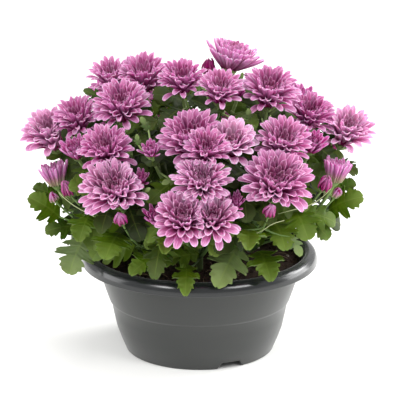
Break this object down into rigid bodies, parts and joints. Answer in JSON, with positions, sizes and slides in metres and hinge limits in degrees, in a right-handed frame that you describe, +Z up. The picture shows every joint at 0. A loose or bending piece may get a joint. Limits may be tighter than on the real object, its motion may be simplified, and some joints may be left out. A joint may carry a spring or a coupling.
{
  "type": "potted chrysanthemum",
  "caption": "Double pink chrysanthemum in a round plastic nursery bowl, a low dome of blooms over lobed leaves.",
  "frame": {"origin": "on the ground, under the middle of the pot", "axes": "+Z up, +X to the right across the widest way of the plant, the plant's front faces -Y"},
  "size_m": [0.3357, 0.3239, 0.3048],
  "materials": {
    "pot": "satin moulded polypropylene, dark grey",
    "soil": "damp peat and bark potting soil, dark brown",
    "greenery": "soft matte leaves and stems, mid to dark green",
    "petals": "velvety petals, lilac pink with paler edges"
  },
  "bodies": {
    "root": {"pot": "pot", "soil": "soil", "leafy_stem_front": "greenery", "leafy_stem_front_right": "greenery", "leafy_stem_back_right": "greenery", "leafy_stem_back": "greenery", "leafy_stem_back_left": "greenery", "leafy_stem_front_left": "greenery", "leafy_stem_middle": "greenery", "bloom_01": "petals", "bloom_02": "petals", "bloom_03": "petals", "bloom_04": "petals", "bloom_05": "petals", "bloom_06": "petals", "bloom_07": "petals", "bloom_08": "petals", "bloom_09": "petals", "bloom_10": "petals", "bloom_11": "petals", "bloom_12": "petals", "bloom_13": "petals", "bloom_14": "petals", "bloom_15": "petals", "bloom_16": "petals", "bloom_17": "petals", "bloom_18": "petals", "bloom_19": "petals", "bloom_20": "petals", "bloom_21": "petals", "bloom_22": "petals", "bloom_23": "petals", "bloom_24": "petals", "bloom_25": "petals", "bloom_26": "petals", "bloom_27": "petals", "bloom_28": "petals", "bloom_29": "petals", "bloom_30": "petals", "bloom_31": "petals", "bloom_32": "petals", "bloom_33": "petals", "bloom_34": "petals", "bloom_35": "petals", "bloom_36": "petals", "bloom_37": "petals", "bloom_38": "petals", "bloom_39": "petals", "bloom_40": "petals", "bloom_41": "petals", "bud_01": "petals", "bud_02": "petals", "bud_03": "petals", "bud_04": "petals", "bud_05": "petals", "bud_06": "petals", "bud_07": "petals", "bud_08": "petals", "bud_09": "petals", "bud_10": "petals"}
  },
  "joints": []
}
